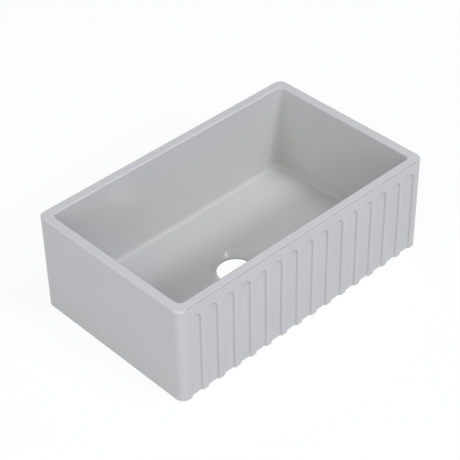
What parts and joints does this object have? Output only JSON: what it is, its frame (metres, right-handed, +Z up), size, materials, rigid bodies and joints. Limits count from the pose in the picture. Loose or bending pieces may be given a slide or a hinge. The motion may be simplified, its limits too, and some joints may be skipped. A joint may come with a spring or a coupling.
{
  "type": "farmhouse apron front sink",
  "caption": "Single-bowl fireclay farmhouse sink with an arch-fluted apron front, rounded rim, dished central drain seat and unglazed kiln foot.",
  "frame": {"origin": "middle of the footprint, on the plane of the kiln foot", "axes": "+X along the length, to the right of a person at the sink; -Y towards that person and out of the apron; +Z up"},
  "size_m": [0.756, 0.458, 0.254],
  "materials": {
    "raw_fireclay": "unglazed, fine sandy grog, pale buff",
    "grey_white_glaze": "smooth satin gloss"
  },
  "bodies": {
    "root": {"fireclay_body": "raw_fireclay", "glaze_coat": "grey_white_glaze"}
  },
  "joints": []
}
